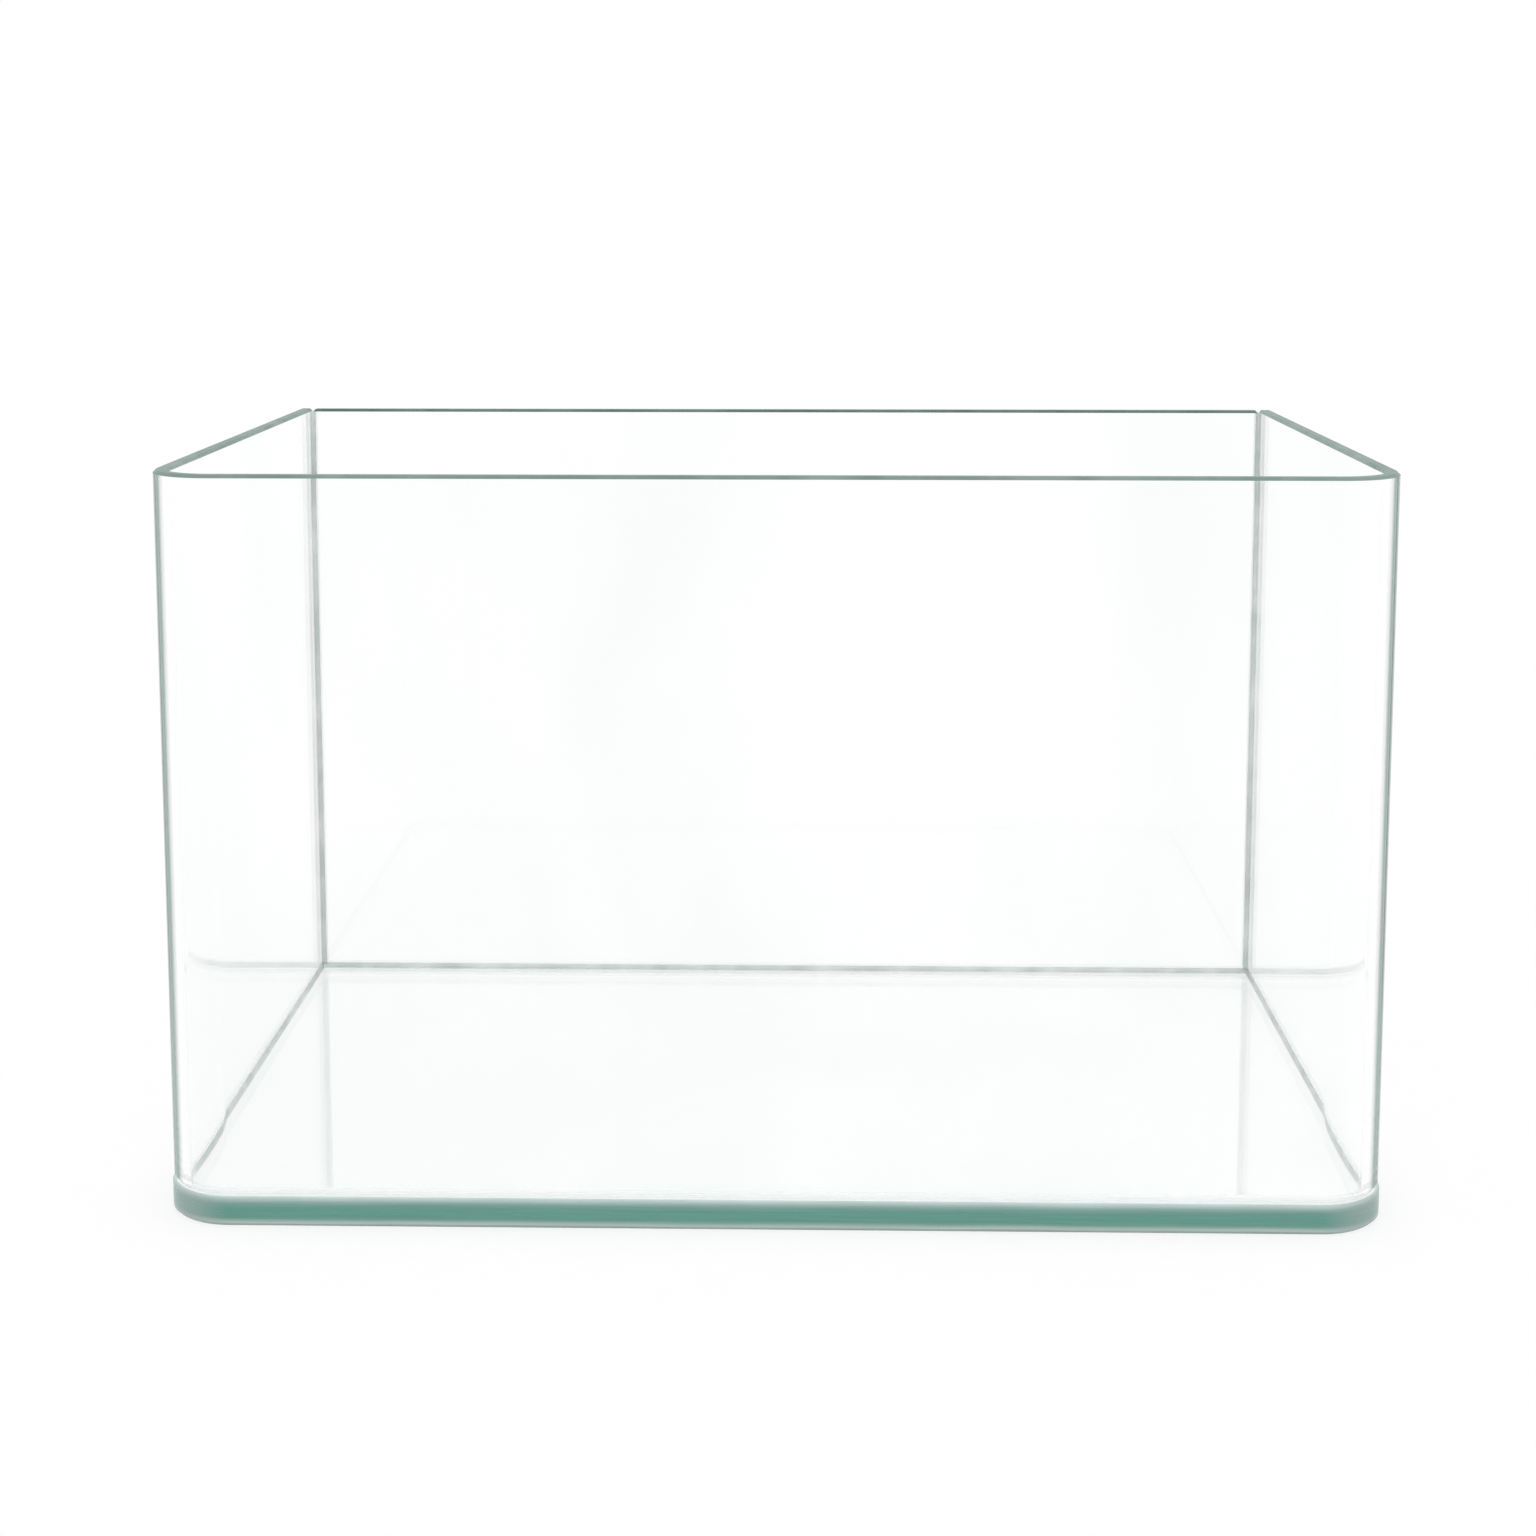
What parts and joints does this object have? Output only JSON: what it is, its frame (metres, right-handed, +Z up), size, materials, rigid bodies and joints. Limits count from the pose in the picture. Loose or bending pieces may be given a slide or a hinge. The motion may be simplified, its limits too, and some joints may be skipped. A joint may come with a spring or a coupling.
{
  "type": "curved glass aquarium",
  "caption": "Rimless tabletop aquarium: a sheet bent round both front corners, a flat back pane and a thick base pane, bonded with clear silicone and open at the top.",
  "frame": {"origin": "centre of the base pane's underside", "axes": "+X along the width, to the right as seen from the bent front; +Y from the bent front to the back pane; +Z up, out of the open top"},
  "size_m": [0.4, 0.25, 0.246],
  "materials": {
    "base_glass": "clear float glass with a green edge, polished edges and fine arrises",
    "wall_glass": "clear float glass with a faint grey-green edge, polished edges and fine arrises",
    "silicone": "clear silicone sealant, hand-tooled, satin"
  },
  "bodies": {
    "root": {"base_pane": "base_glass", "bent_pane": "wall_glass", "back_pane": "wall_glass", "bent_pane_bed": "silicone", "back_pane_bed": "silicone", "rear_left_joint": "silicone", "rear_right_joint": "silicone", "floor_bead_bent": "silicone", "floor_bead_back": "silicone", "rear_left_bead": "silicone", "rear_right_bead": "silicone"}
  },
  "joints": []
}
